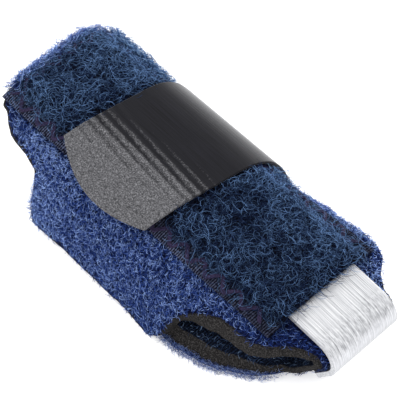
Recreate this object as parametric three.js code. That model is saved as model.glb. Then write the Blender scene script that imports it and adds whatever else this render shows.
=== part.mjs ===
// Hammer toe corrector: a padded toe sleeve, cut from one flat blank, stiffened by an aluminium strip.
// Millimetres, +Z up. +X points at the toe tip, -Y is the side where the tab's free end sticks.
//
// The blank runs along a spine: over the top of the toe, round the nose under the strip's hook, and back
// along the floor as the sole. Two wings hang from the spine, one on each side of the toe.
// Every piece is laid out on that blank: l is the way along the spine from the back end, s the way across
// it from the middle (negative on the near side), and lift the height above the blank's outer face.
import * as THREE from 'three';

// Layers of the sleeve
const GAP = 0.25;
const CLOTH = 0.9;
const FOAM = 3.0;
const PRESSED_FOAM = 1.3;

// Tape, strip and tab: standard 25 mm loop and hook tapes and a 15 mm strip
const TAPE_HALF = 12.5;
const TAPE_THICK = 1.1;
const STRIP_HALF = 7.5;
const STRIP_THICK = 1.0;
const STRIP_START = 3;
const STRIP_TAIL = 6.6;
const STRIP_CORNER = 2.5;
const TAB_HALF = 12.5;
const TAB_THICK = 1.0;

// The spine's way, seen from the side: it starts level at the back end and turns downwards
const SPINE_SLOPE = 2.4;
const NOSE_RADIUS = 3.0;
const NOSE_TURN = 118.5;
const HEEL_RADIUS = 7;
const TIP_TURN = 3.1;
const HEEL_TURN = 180 - SPINE_SLOPE - TIP_TURN - NOSE_TURN;
const SPINE = [
  { name: 'back', length: 62, turn: 0 },
  { name: 'tip', length: 4, turn: TIP_TURN },
  { name: 'visor', length: 6.7, turn: 0 },
  { name: 'nose', length: NOSE_RADIUS * radians(NOSE_TURN), turn: NOSE_TURN },
  { name: 'tail', length: 8.2, turn: 0 },
  { name: 'heel', length: HEEL_RADIUS * radians(HEEL_TURN), turn: HEEL_TURN },
  { name: 'sole', length: 50, turn: 0 },
];

// The cross-section's way from the middle of the spine, over a shoulder and down a wing
const NEAR_SECTION = [
  { length: 7, turn: 0 },
  { length: 5, turn: 22 },
  { length: 5, turn: 28 },
  { length: 13, turn: 37 },
];
const FAR_SECTION = [
  { length: 6.6, turn: 0 },
  { length: 5, turn: 28 },
  { length: 6, turn: 48 },
  { length: 20, turn: 0 },
];
// How much of those turns the section makes along the spine: full over the wings, flat at the nose
const DROOP = [
  { l: 36, near: 1, far: 1 },
  { l: 45, near: 0.95, far: 1 },
  { l: 51, near: 0.8, far: 0.85 },
  { l: 57, near: 0.4, far: 0.5 },
  { l: 66, near: 0.3, far: 0.3 },
  { l: 72, near: 0, far: 0 },
];

// Outline of the blank. The wings sweep out of the skirt beside the tape in hollow curves
const WING_BACK = 12.9;
const WING_TOE = 45;
const BACK_SWEEP = 4.5;
const TOE_SWEEP = 12;
const WAIST_START = 58;
// Half width of the skirt, which rounds off towards the back end, more so on the near side
const SKIRT = [
  { l: -2.5, near: 1, far: 9 },
  { l: -2.1, near: 4, far: 10.2 },
  { l: -1.5, near: 6.2, far: 11.2 },
  { l: -0.8, near: 8.6, far: 12.2 },
  { l: 0, near: 11, far: 13.2 },
  { l: 0.7, near: 12.8, far: 14 },
  { l: 1.6, near: 14.2, far: 14.8 },
  { l: 3.8, near: 15.7, far: 15.8 },
  { l: 8.4, near: 16.8, far: 16.8 },
  { l: 12.9, near: 17.6, far: 17.6 },
  { l: 58, near: 15.4, far: 15.4 },
];
// Height of the wings' free edges above the floor
const WING_FOOT = [
  { l: 13, height: 1.4 },
  { l: 21, height: 2 },
  { l: 32, height: 1 },
  { l: 45, height: 0.9 },
];
const SOLE_CORNER = 4;
const WAIST_AND_SOLE = [
  { l: 58, near: 15.4, far: 15.4 },
  { l: 64, near: 14.9, far: 14.6 },
  { l: 67, near: 13.4, far: 13.2 },
  { l: 70, near: 10.2, far: 10.2 },
  { l: 73, near: 8.9, far: 8.9 },
  { l: 87, near: 8.6, far: 8.6 },
  { l: 90.5, near: 9.2, far: 9.2 },
  { l: 93.3, near: 11.6, far: 10.8 },
  { l: 97, near: 14.8, far: 11.7 },
  { l: 101, near: 17.2, far: 11.7 },
  { l: 105, near: 18.6, far: 11.7 },
  { l: 108, near: 19.2, far: 11.7 },
  { l: 111.4, near: 19.4, far: 11.7 },
  { l: 112, near: 14.8, far: 11.7 },
  { l: 160, near: 14.2, far: 11.7 },
];
// The foam is pressed thin where the tongue folds under the strip's hook
const PRESSED = [
  { l: 66, share: 0 },
  { l: 73, share: 1 },
  { l: 82, share: 1 },
  { l: 92, share: 0 },
];

// The tab crosses the blank a little aslant and rides over the tape and the shoulders
const TAB_MIDDLE = 27.2;
const TAB_SLANT = 0.1;
const TAB_FREE = 10.9;
const TAB_SKEW = 1.2;
const TAB_BULGE = 2.6;
const TAB_ROOT = 25;
const TAB_LIFT = [
  { s: -15, lift: 4.4 },
  { s: -12, lift: 3.3 },
  { s: -8.5, lift: 2.9 },
  { s: 8, lift: 2.9 },
  { s: 9.8, lift: 1.7 },
  { s: 12.6, lift: 1.6 },
  { s: 13.6, lift: 0.9 },
  { s: 15.5, lift: 0.5 },
  { s: 30, lift: 0.35 },
];
// Back end of the tape: it stops short of the cloth, but its near corner pokes out
const TAPE_BACK = [
  { s: -12.5, l: -1.6 },
  { s: -10, l: -0.8 },
  { s: -6, l: -0.4 },
  { s: 12.5, l: -0.4 },
];
// The tape stands up over the strip and comes down to the cloth at its sewn edges
const TAPE_RISE = [
  { s: 7.9, lift: STRIP_THICK + 2 * GAP },
  { s: 9.6, lift: GAP },
];

const COLOURS = {
  face_cloth: { color: 0x3b58a4, roughness: 0.95, metalness: 0 },
  foam_lining: { color: 0x2c2825, roughness: 0.95, metalness: 0 },
  spine_tape: { color: 0x263c5c, roughness: 0.95, metalness: 0 },
  stay_strip: { color: 0xdfe1e4, roughness: 0.3, metalness: 1 },
  hook_tab: { color: 0x3a3a3d, roughness: 0.5, metalness: 0 },
};

function radians(degrees) {
  return degrees * Math.PI / 180;
}

// Value of one column of a table, read between its rows and held beyond them
function read(table, key, column, at) {
  const next = table.findIndex((row) => row[key] >= at);
  if (next === 0) return table[0][column];
  if (next === -1) return table[table.length - 1][column];
  const from = table[next - 1];
  const to = table[next];
  const share = (at - from[key]) / (to[key] - from[key]);
  return from[column] + (to[column] - from[column]) * share;
}

// Walks a way made of straight and evenly turning stretches. Turns bend downwards
function walk(rows, distance, heading = 0, turnShare = 1) {
  let along = 0;
  let up = 0;
  let angle = heading;
  let left = distance;
  for (const row of rows) {
    const step = row === rows.at(-1) ? left : Math.min(left, row.length);
    const turn = radians(row.turn) * turnShare * step / row.length;
    const bent = Math.abs(turn) > 1e-9;
    along += bent ? step / turn * (Math.sin(angle + turn) - Math.sin(angle)) : step * Math.cos(angle);
    up += bent ? step / turn * (Math.cos(angle + turn) - Math.cos(angle)) : -step * Math.sin(angle);
    angle += turn;
    left -= step;
  }
  return { along, up, angle };
}

// Place along the spine where a named stretch starts
function startOf(name) {
  const index = SPINE.findIndex((row) => row.name === name);
  return SPINE.slice(0, index).reduce((sum, row) => sum + row.length, 0);
}

const TAPE_END = startOf('visor');
const NOSE_START = startOf('nose');
const NOSE_END = startOf('tail');
const SOLE_START = startOf('sole');
const BLANK_END = SOLE_START + SPINE.at(-1).length;
const SPINE_HEIGHT = -walk(SPINE, BLANK_END, radians(SPINE_SLOPE)).up;

// Point in space of a place on the blank
function place(l, s, lift) {
  const side = Math.sign(s) || 1;
  const droop = read(DROOP, 'l', sideName(s), l);
  const across = walk(s < 0 ? NEAR_SECTION : FAR_SECTION, Math.abs(s), 0, droop);
  const y = side * (across.along + Math.sin(across.angle) * lift);
  const height = across.up + Math.cos(across.angle) * lift;
  const spine = walk(SPINE, l, radians(SPINE_SLOPE));
  const lean = spine.angle - radians(SPINE_SLOPE);
  const x = spine.along + Math.sin(lean) * height;
  const z = SPINE_HEIGHT + spine.up + Math.cos(lean) * height;
  return new THREE.Vector3(x, y, z);
}

function sideName(side) {
  return side < 0 ? 'near' : 'far';
}

// Way across the blank from the spine to a wing's free edge, which stops just above the floor
function wingReach(l, side) {
  let reach = read(SKIRT, 'l', sideName(side), l);
  const step = 0.05;
  while (place(l, side * reach, 0).z > read(WING_FOOT, 'l', 'height', l)) reach += step;
  return reach;
}

// Half width of the blank at l on one side
function halfWidth(l, side) {
  if (l >= WAIST_START) {
    const half = read(WAIST_AND_SOLE, 'l', sideName(side), l);
    const past = Math.max(0, l - (BLANK_END - SOLE_CORNER));
    return half - SOLE_CORNER + Math.sqrt(SOLE_CORNER ** 2 - past ** 2);
  }
  const skirt = read(SKIRT, 'l', sideName(side), l);
  const fromBack = Math.min(1, Math.max(0, 1 - (WING_BACK - l) / BACK_SWEEP));
  const fromToe = Math.min(1, Math.max(0, 1 - (l - WING_TOE) / TOE_SWEEP));
  const share = (1 - Math.sqrt(1 - fromBack ** 2)) * fromToe ** 2;
  return skirt + (wingReach(l, side) - skirt) * share;
}

// Evenly spaced values from one end to the other
function steps(from, to, count) {
  return Array.from({ length: count + 1 }, (_, i) => from + (to - from) * i / count);
}

// Values along a quarter round, closest where it stands steepest, at the end called steep
function roundSteps(flat, steep, count) {
  return steps(0, Math.PI / 2, count).map((angle) => flat + (steep - flat) * Math.sin(angle));
}

// Places along the spine where the blank's outline is followed
function blankStations() {
  return [
    ...SKIRT.map((row) => row.l).filter((l) => l < WING_BACK - BACK_SWEEP),
    ...roundSteps(WING_BACK - BACK_SWEEP, WING_BACK, 6),
    ...steps(WING_BACK, WING_TOE, 6).slice(1),
    ...steps(WING_TOE, WING_TOE + TOE_SWEEP, 6).slice(1),
    ...steps(WAIST_START + 2, NOSE_START - 1, 5),
    ...steps(NOSE_START, NOSE_END, 7),
    ...steps(NOSE_END + 4, SOLE_START, 4),
    ...WAIST_AND_SOLE.map((row) => row.l).filter((l) => l > SOLE_START && l < BLANK_END),
    ...steps(BLANK_END - 16, BLANK_END - SOLE_CORNER, 1),
    ...roundSteps(BLANK_END - SOLE_CORNER / 2, BLANK_END, 2),
  ];
}

// Closed wall over a grid of points: one sheet outside, one inside, joined round the rim
function wall(outside, inside) {
  const rows = outside.length;
  const columns = outside[0].length;
  const points = [...outside.flat(), ...inside.flat()];
  const indices = [];
  const quad = (a, b, c, d) => indices.push(a, b, c, a, c, d);
  const at = (sheet, i, j) => (sheet * rows + i) * columns + j;
  for (let i = 0; i + 1 < rows; i += 1) {
    for (let j = 0; j + 1 < columns; j += 1) {
      quad(at(0, i, j), at(0, i + 1, j), at(0, i + 1, j + 1), at(0, i, j + 1));
      quad(at(1, i, j), at(1, i, j + 1), at(1, i + 1, j + 1), at(1, i + 1, j));
    }
    quad(at(0, i, 0), at(1, i, 0), at(1, i + 1, 0), at(0, i + 1, 0));
    quad(at(0, i + 1, columns - 1), at(1, i + 1, columns - 1), at(1, i, columns - 1), at(0, i, columns - 1));
  }
  for (let j = 0; j + 1 < columns; j += 1) {
    quad(at(0, 0, j), at(0, 0, j + 1), at(1, 0, j + 1), at(1, 0, j));
    quad(at(0, rows - 1, j + 1), at(0, rows - 1, j), at(1, rows - 1, j), at(1, rows - 1, j + 1));
  }
  const geometry = new THREE.BufferGeometry().setFromPoints(points);
  geometry.setIndex(indices);
  geometry.computeVertexNormals();
  return geometry;
}

// Grid of points on the blank: a row for each station, spread from its near edge to its far edge
function grid(stations, columns, edges, lift) {
  return stations.map((l) => {
    const [near, far] = edges(l);
    return steps(-near, far, columns).map((s) => place(l, s, lift(l, s)));
  });
}

function piece(name, geometry) {
  const mesh = new THREE.Mesh(geometry, new THREE.MeshStandardMaterial(COLOURS[name]));
  mesh.name = name;
  return mesh;
}

function layer(name, top, bottom) {
  const stations = blankStations();
  const edges = (l) => [halfWidth(l, -1), halfWidth(l, 1)];
  const columns = 20;
  return piece(name, wall(grid(stations, columns, edges, top), grid(stations, columns, edges, bottom)));
}

function faceCloth() {
  return layer('face_cloth', () => 0, () => -CLOTH);
}

function foamLining() {
  const foam = (l) => FOAM - (FOAM - PRESSED_FOAM) * read(PRESSED, 'l', 'share', l);
  return layer('foam_lining', () => -CLOTH - GAP, (l) => -CLOTH - GAP - foam(l));
}

function spineTape() {
  const sheet = (above) => steps(0, 1, 9).map((share) => (
    steps(-TAPE_HALF, TAPE_HALF, 20).map((s) => {
      const start = read(TAPE_BACK, 's', 'l', s);
      const l = start + (TAPE_END - start) * share;
      return place(l, s, read(TAPE_RISE, 's', 'lift', Math.abs(s)) + above);
    })
  ));
  return piece('spine_tape', wall(sheet(TAPE_THICK), sheet(0)));
}

function stayStrip() {
  const end = NOSE_END + STRIP_TAIL;
  const edges = (l) => {
    const past = Math.max(0, l - (end - STRIP_CORNER));
    const half = STRIP_HALF - STRIP_CORNER + Math.sqrt(STRIP_CORNER ** 2 - past ** 2);
    return [half, half];
  };
  const stations = [
    ...steps(STRIP_START, TAPE_END, 8),
    ...steps(NOSE_START, NOSE_END, 10),
    ...roundSteps(end - STRIP_CORNER, end, 4),
  ];
  const columns = 4;
  const outside = grid(stations, columns, edges, () => GAP + STRIP_THICK);
  return piece('stay_strip', wall(outside, grid(stations, columns, edges, () => GAP)));
}

// The tab's points: across runs over its width, along from the free end's arc to the sewn root
function tabPoint(across, along, above) {
  const share = across / TAB_HALF;
  const free = -(TAB_FREE + TAB_SKEW * share + TAB_BULGE * (1 - share ** 2));
  const s = free + (TAB_ROOT - free) * along;
  const l = TAB_MIDDLE + across + TAB_SLANT * s;
  return place(l, s, read(TAB_LIFT, 's', 'lift', s) + above);
}

function hookTab() {
  const sheet = (above) => steps(0, 1, 26).map((along) => (
    steps(TAB_HALF, -TAB_HALF, 8).map((across) => tabPoint(across, along, above))
  ));
  return piece('hook_tab', wall(sheet(TAB_THICK), sheet(0)));
}

// The part stands with its origin under the middle of its own box
const part = new THREE.Group();
part.add(faceCloth(), foamLining(), spineTape(), stayStrip(), hookTab());
const box = new THREE.Box3().setFromObject(part);
const middle = box.getCenter(new THREE.Vector3());
part.position.set(-middle.x, -middle.y, -box.min.z);

export default part;
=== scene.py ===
"""Hammer toe corrector: the looks of a padded toe sleeve with loop tape, hook tab and aluminium strip.

Every piece is laid out on the flat blank that the sleeve is cut from, in millimetres: l along the spine
from the back end, s across it (negative on the near side) and lift above the blank's outer face.
A table holds rows of place and value, and a pair of places says where a change starts and ends.
"""
import math
import random

import bpy
from mathutils import Matrix, Vector


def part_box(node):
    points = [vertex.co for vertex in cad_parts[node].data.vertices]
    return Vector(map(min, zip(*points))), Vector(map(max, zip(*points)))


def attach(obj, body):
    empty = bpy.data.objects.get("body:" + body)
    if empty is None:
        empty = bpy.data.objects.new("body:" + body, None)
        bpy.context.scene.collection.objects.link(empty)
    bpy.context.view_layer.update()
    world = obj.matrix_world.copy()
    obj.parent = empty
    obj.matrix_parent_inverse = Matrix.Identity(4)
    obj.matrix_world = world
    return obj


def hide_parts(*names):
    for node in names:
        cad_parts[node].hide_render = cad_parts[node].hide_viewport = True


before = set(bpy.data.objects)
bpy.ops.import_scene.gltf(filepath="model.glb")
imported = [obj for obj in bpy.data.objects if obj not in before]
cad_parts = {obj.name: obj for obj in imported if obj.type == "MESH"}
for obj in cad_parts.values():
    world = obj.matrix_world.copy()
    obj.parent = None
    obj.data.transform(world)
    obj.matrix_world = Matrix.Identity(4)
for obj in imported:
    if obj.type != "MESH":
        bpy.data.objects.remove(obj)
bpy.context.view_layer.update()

# A millimetre in metres, how far pieces keep off the floor, and the degrees that make an edge sharp
MM = 0.001
FLOOR_CLEAR = 0.06
SMOOTH_ANGLE = 40

# Layers of the sleeve: the cloth's ground lies below the blank's outer face, which its pile fills
GROUND = -0.42
CLOTH_UNDER = -1.12
FOAM_TOP = -1.15
FOAM = 3.0
PRESSED_FOAM = 0.95
RIM_BULGE = 0.2

# Tape, strip and tab
GAP = 0.25
TAPE_HALF = 12.5
TAPE_BASE = 0.55
STRIP_HALF = 7.5
STRIP_THICK = 1.0
STRIP_START = 3.0
STRIP_TAIL = 6.6
STRIP_CORNER = 2.5
TAB_HALF = 12.0
TAB_THICK = 0.5

# The spine's way, seen from the side: name, length, turn in degrees
SPINE_SLOPE = 2.4
NOSE_RADIUS = 3.0
NOSE_TURN = 118.5
HEEL_RADIUS = 7.0
TIP_TURN = 3.1
HEEL_TURN = 180 - SPINE_SLOPE - TIP_TURN - NOSE_TURN
SPINE = [
    ("back", 62.0, 0.0),
    ("tip", 4.0, TIP_TURN),
    ("visor", 6.7, 0.0),
    ("nose", NOSE_RADIUS * math.radians(NOSE_TURN), NOSE_TURN),
    ("tail", 8.2, 0.0),
    ("heel", HEEL_RADIUS * math.radians(HEEL_TURN), HEEL_TURN),
    ("sole", 50.0, 0.0),
]
# The cross-section's way from the spine, over a shoulder and down a wing
NEAR_SECTION = [
    ("top", 7.0, 0.0), ("shoulder", 5.0, 22.0), ("bend", 5.0, 28.0), ("wing", 13.0, 37.0),
]
FAR_SECTION = [
    ("top", 6.6, 0.0), ("shoulder", 5.0, 28.0), ("bend", 6.0, 48.0), ("wing", 20.0, 0.0),
]
# Share of those turns along the spine: full over the wings, flat at the nose
NEAR_DROOP = [(36.0, 1.0), (45.0, 0.95), (51.0, 0.8), (57.0, 0.4), (66.0, 0.3), (72.0, 0.0)]
FAR_DROOP = [(36.0, 1.0), (45.0, 1.0), (51.0, 0.85), (57.0, 0.5), (66.0, 0.3), (72.0, 0.0)]

# Outline of the blank
BLANK_START = -2.5
WING_BACK = 12.9
WING_TOE = 45.0
BACK_SWEEP = 2.0
TOE_SWEEP = 12.0
WAIST_START = 58.0
SOLE_CORNER = 4.0
# Half widths along the spine: the skirt above the wings, the near wing's toe edge, and past the waist
NEAR_SKIRT = [
    (-2.5, 8.0), (-2.1, 11.0), (-1.7, 12.5), (-1.2, 13.3), (0.0, 13.8), (1.0, 14.4), (1.8, 15.1),
    (2.6, 15.8), (3.7, 16.5), (5.7, 17.1), (8.1, 17.5), (10.0, 18.0), (12.9, 19.0), (58.0, 15.4),
]
FAR_SKIRT = [
    (-2.5, 9.0), (-2.1, 10.2), (-1.5, 11.2), (-0.8, 12.2), (0.0, 13.2), (0.7, 14.0), (1.6, 14.8),
    (3.8, 15.8), (8.4, 16.8), (12.9, 17.6), (58.0, 15.4),
]
NEAR_TOE_EDGE = [
    (45.0, 30.0), (46.7, 28.5), (48.4, 26.2), (49.0, 23.6), (49.5, 21.9), (50.3, 20.6), (52.0, 18.9),
    (54.5, 16.9), (58.0, 15.4),
]
NEAR_EDGE = [
    (58.0, 15.4), (64.0, 14.9), (67.0, 13.4), (70.0, 10.2), (73.0, 8.9), (87.0, 8.6), (90.5, 9.2),
    (93.3, 11.6), (97.0, 14.7), (101.0, 16.9), (105.0, 18.2), (108.0, 18.7), (111.4, 18.8),
    (112.0, 14.8), (160.0, 14.2),
]
FAR_EDGE = [
    (58.0, 15.4), (64.0, 15.2), (67.0, 14.0), (70.0, 10.4), (73.0, 8.9), (87.0, 8.6), (90.5, 9.2),
    (93.3, 10.8), (97.0, 11.7), (160.0, 11.7),
]
# Height of a wing's free edge above the floor, and the reach and number of steps of the search for it
WING_FOOT = [(13.0, 1.0), (21.0, 1.6), (32.0, 0.6), (45.0, 0.4)]
FOOT_SEARCH = 16.0
FOOT_SEARCH_STEPS = 24
# Share of the foam's thickness that the strip's grip takes away
PRESSED = [
    (60.0, 0.0), (66.0, 0.25), (73.0, 1.0), (84.0, 1.0), (91.0, 0.8), (96.0, 0.5), (103.0, 0.1),
    (110.0, 0.0),
]
# How far the foam's inner edge stands out past its outer edge: the cut leans. Its rim has rings between
NEAR_LEAN = [
    (2.0, 0.3), (14.0, 0.0), (45.0, 0.0), (50.0, 1.4), (54.0, 1.9), (58.0, 1.8), (64.0, 1.2),
    (69.0, 0.9), (74.0, 0.4), (88.0, 0.1), (94.0, -0.7), (99.0, -1.5), (109.0, -1.5), (112.0, 0.0),
]
FAR_LEAN = [(2.0, 0.3), (60.0, 0.4), (92.0, 0.0)]
BACK_LEAN = 0.4
RIM_DEPTHS = (0.12, 0.35, 0.65, 0.88)
# How far the near cut edges of the cloth and of the foam's outer side stand out past the outline
CLOTH_SHOW = [(44.0, -0.1), (50.0, -0.3), (90.0, -0.2), (96.0, 0.2), (111.0, 0.2), (112.0, -0.2)]
FOAM_SHOW = [
    (0.0, 0.4), (4.0, 0.75), (10.0, 0.7), (14.0, 1.1), (43.0, 0.9), (47.0, 0.4), (50.0, 0.0),
    (90.0, 0.0), (96.0, -0.4), (111.0, -0.4), (112.0, 0.0),
]
# How far the cloth stops short of the foam at the back and on the far side, where the tip shows again
CLOTH_BEHIND = 0.35
CLOTH_SHORT = 0.3
FAR_TIP_SHOW = 0.5
FAR_TIP_RISE = (56.0, 62.0)
FAR_TIP_FALL = (72.0, 66.0)
# Roll of the cloth at its cut edges, and waves of the hand that cut them: height, turn for each
# millimetre and shift from side to side
EDGE_ROLL = 0.35
EDGE_ROLL_WIDTH = 1.4
HAND_WAVES = [(0.12, 0.83, 1.0), (0.08, 2.3, 2.0)]
# Rows of faces along the blank, and columns across it: where they change, and how many there are
BACK_ROWS_END = 2.0
SOLE_STEP = 112.0
LAST_ROW = 0.02
BLANK_ROWS = [14, 6, 12, 22, 26, 18, 18, 16, 26, 12, 7]
COLUMNS = 34
TAPE_ROWS = 90
TAPE_COLUMNS = 56
STRIP_COLUMNS = 10
TAB_ROWS = 190
TAB_COLUMNS = 16

# The tape's back end, its rise over the strip, its ripple between stitches, and its solid's thickness
TAPE_BACK = [
    (-12.5, -1.6), (-9.0, -1.4), (-6.0, -1.4), (-1.5, -1.8), (3.5, -2.0), (8.0, -1.7), (10.0, -0.9),
    (12.5, 0.7),
]
TAPE_SEWN = -0.1
TAPE_RISE = [(7.9, STRIP_THICK + 2 * GAP), (9.6, TAPE_SEWN)]
TAPE_RAMP = (-3.5, 2.5)
TAPE_RIPPLE = 0.16
RIPPLE_FROM = 10.0
SOLID_TAPE = 1.1

# The tab: its middle along the spine, its slant, its rounded free end and its sewn root
TAB_MIDDLE = 28.0
TAB_SLANT = 0.14
TAB_FREE = 11.75
TAB_SKEW = 1.05
TAB_BULGE = 2.5
TAB_ROOT = 25.0
# Underside of the tab across the blank, along its back edge and along its front edge
TAB_BACK_LIFT = [
    (-15.0, 4.4), (-12.0, 3.25), (-8.5, 2.7), (5.0, 2.7), (8.0, 2.35), (10.0, 1.8), (12.0, 1.1),
    (14.0, 0.45), (16.5, 0.2), (30.0, 0.0),
]
TAB_FRONT_LIFT = [
    (-15.0, 4.4), (-12.0, 3.25), (-8.5, 2.7), (5.0, 2.75), (8.0, 2.4), (10.0, 1.95), (12.0, 1.4),
    (14.0, 0.75), (16.5, 0.4), (30.0, 0.3),
]
# Ridges across the tab with the field that they fill, and where its grey end, painted pale as the light
# its grain catches, turns dark
RIDGE_PITCH = 1.72
RIDGE_AT = -5.2
RIDGE_SLANT = -0.1
RIDGE_HEIGHT = 0.12
RIDGES_FREE_END = (-9.5, -7.0)
RIDGES_ROOT_END = (0.8, -2.5)
GREY_AT = -4.0
GREY_SLANT = 0.1
GREY_FADE = 4.95

# Rounded edges of the strip and of the tab
BEVEL_ANGLE = 50
STRIP_BEVEL = 0.3
TAB_BEVEL = 0.1

# Zigzag seams along the tape's long edges, across its back end and over the tab's root, and their thread
SEAM_START = 1.2
SEAM_PERIOD = 4.3
SEAM_INNER = 9.7
SEAM_OUTER = 12.1
SEAM_STRANDS = (-0.28, 0.0, 0.28)
BACK_SEAM_START = -11.0
BACK_SEAM_PERIOD = 3.8
BACK_SEAM_FROM = -0.5
BACK_SEAM_TO = 1.4
BACK_SEAM_LEGS = 12
BACK_SEAM_STRANDS = (-0.25, 0.0, 0.25)
ROOT_SEAM_IN = 0.8
ROOT_SEAM_STEP = 1.3
ROOT_SEAM_LOW = 1.2
ROOT_SEAM_HIGH = 3.4
ROOT_SEAM_LEGS = 17
TAPE_THREAD = 0.16
TAB_THREAD = 0.14
STITCH_UP = 0.1
STITCH_ARCH = 0.2
TAB_STITCH_SINK = 0.1

# Places along the spine where pile hides the cut edge of the sole and of the far tip, and where the
# wings' pile is parted and ends
SOLE_RIM_FROM = 92.0
FAR_TIP_FROM = 46.0
FAR_TIP_FADE = 6.0
FAR_BAND_FADE = 4.0
WING_SPLIT = 30.0
WING_END = 90.0
# Changes of the pile along the spine: the strip's way out and back, the lee beside it, painted darker as
# shade, the wing's bare edge, the combed back half of the wings, their stretch painted paler as lit, the
# far tip's end, the sole's rim and the mouth
STRIP_OUT = (60.0, 64.0)
STRIP_BACK = (88.0, 86.5)
LEE = (60.0, 68.0)
WING_BARE = (11.0, 14.0)
COMBED = (14.0, 34.0)
PAINTED_LIT_FROM = (3.0, 10.0)
PAINTED_LIT_TO = (24.0, 12.0)
FAR_TIP_END = (76.0, 72.0)
SOLE_RIM_ON = (90.0, 95.0)
SOLE_RIM_OFF = (112.5, 111.0)
SOLE_RIM_REACH = (89, 113)
MOUTH_FROM = (WAIST_START - 6, WAIST_START)
MOUTH_END = (118.0, 108.0)
MOUTH_REACH = (0, 130)
# Changes across it: the far edge, back end and near edge of the tape, painted paler as lit, the mouth's
# near side, and the way in from the sole's cut edge
TAPE_PALE_FAR = (1.0, 10.0)
TAPE_PALE_BACK = (16.0, 6.0)
TAPE_PALE_NEAR = (-4.0, -10.0)
MOUTH_NEAR = (4.0, -3.0)
SOLE_EDGE = (2.2, 1.0)
LINING_INSET = 0.4
# Bands that carry a rim of pile: ways across the blank, or past the sole's near edge, and their slopes
FAR_RIM_IN = 11.2
FAR_RIM_OUT = 13.8
FAR_RIM_RISE = 0.5
FAR_RIM_FULL = (18.0, 8.0)
FAR_RIM_SLOPE = 0.4
BACK_RIM_ROWS = [-0.9, -0.6, -0.3, 0.0, 0.4, 0.8]
BACK_RIM_SLOPE = 1.4
BACK_RIM_NEAR = (-11.0, -8.5)
SOLE_RIM_IN = 0.05
SOLE_RIM_OUT = 0.45
SOLE_RIM_SLOPE = 2.2
SOLE_LEDGE_IN = 0.5
SOLE_LEDGE_OUT = 0.2

# Curled fibres: how many shapes, radius and lengths, the degrees of the climb at the root, of the drop
# at the tip and of the swing between them, and the joints along them
BLUE_CURLS = [
    dict(
        seed=11, shapes=14, radius=0.047, lengths=(1.1, 2.0), climb=(12, 45), drop=(-25, 5),
        swing=(20, 190), joints=3,
    ),
    dict(
        seed=12, shapes=1, radius=0.03, lengths=(0.8, 1.2), climb=(40, 70), drop=(0, 40),
        swing=(20, 120), joints=3,
    ),
]
NAVY_CURLS = [
    dict(
        seed=13, shapes=12, radius=0.04, lengths=(2.4, 4.4), climb=(15, 45), drop=(-22, 0),
        swing=(40, 230), joints=5,
    ),
    dict(
        seed=14, shapes=2, radius=0.035, lengths=(1.4, 2.2), climb=(35, 70), drop=(0, 30),
        swing=(60, 200), joints=5,
    ),
]
RIM_CURLS = [
    dict(
        seed=15, shapes=8, radius=0.04, lengths=(1.3, 2.4), climb=(20, 60), drop=(-20, 20),
        swing=(40, 220), joints=4,
    ),
]
# Ways that the fibres lie
DOWN = (0.0, 0.0, -1.0)
ALONG = (1.0, 0.0, 0.0)

# Camera, measured from the photograph on the tapes' known widths
VIEW_AZIMUTH = 46.5
VIEW_ELEVATION = 54.0
VIEW_DISTANCE = 290.0
VIEW_TARGET = (38.9, -2.1, 16.5)
VIEW_LENS = 152.1
# Lights in metres and watts: place, size and power, all aimed at the part
LIGHTS = {
    "key": ((-0.25, -0.3, 0.5), 0.35, 1.8),
    "fill": ((0.45, -0.15, 0.35), 0.4, 0.6),
    "rim": ((0.0, 0.55, 0.15), 0.3, 2.6),
}
LIGHT_AIM = (0, 0, 0.01)
FLOOR_HALF = 1.5


def read(table, at):
    """Straight reading between a table's rows, held beyond them."""
    if at <= table[0][0]:
        return table[0][1]
    for (key, value), (next_key, next_value) in zip(table, table[1:]):
        if at <= next_key:
            return value + (next_value - value) * (at - key) / (next_key - key)
    return table[-1][1]


def flow(table, at):
    """Smooth reading between a table's rows that never swings past them."""
    if at <= table[0][0] or at >= table[-1][0]:
        return read(table, at)
    slopes = [(b[1] - a[1]) / (b[0] - a[0]) for a, b in zip(table, table[1:])]

    def tangent(i):
        if i in (0, len(table) - 1) or slopes[i - 1] * slopes[i] <= 0:
            return 0.0
        return 2 * slopes[i - 1] * slopes[i] / (slopes[i - 1] + slopes[i])

    i = max(k for k in range(len(slopes)) if table[k][0] <= at)
    (key, value), (next_key, next_value) = table[i], table[i + 1]
    span = next_key - key
    t = (at - key) / span
    rise = t * t * (3 - 2 * t)
    lead = t * (1 - t) ** 2 * span * tangent(i)
    trail = t * t * (t - 1) * span * tangent(i + 1)
    return value + (next_value - value) * rise + lead + trail


def walk(rows, distance, heading=0.0, share=1.0):
    """Walks straight and evenly turning stretches, which bend down: the way along, up and the angle."""
    along = up = 0.0
    angle = heading
    left = distance
    for number, (_, length, degrees) in enumerate(rows):
        step = left if number == len(rows) - 1 else min(left, length)
        turn = math.radians(degrees) * share * step / length
        if abs(turn) > 1e-9:
            along += step / turn * (math.sin(angle + turn) - math.sin(angle))
            up += step / turn * (math.cos(angle + turn) - math.cos(angle))
        else:
            along += step * math.cos(angle)
            up -= step * math.sin(angle)
        angle += turn
        left -= step
    return along, up, angle


def start_of(name):
    """Place along the spine where a named stretch starts."""
    names = [row[0] for row in SPINE]
    return sum(row[1] for row in SPINE[: names.index(name)])


TAPE_END = start_of("visor")
NOSE_START = start_of("nose")
NOSE_END = start_of("tail")
SOLE_START = start_of("sole")
BLANK_END = SOLE_START + SPINE[-1][1]
SPINE_HEIGHT = -walk(SPINE, BLANK_END, math.radians(SPINE_SLOPE))[1]


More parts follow.
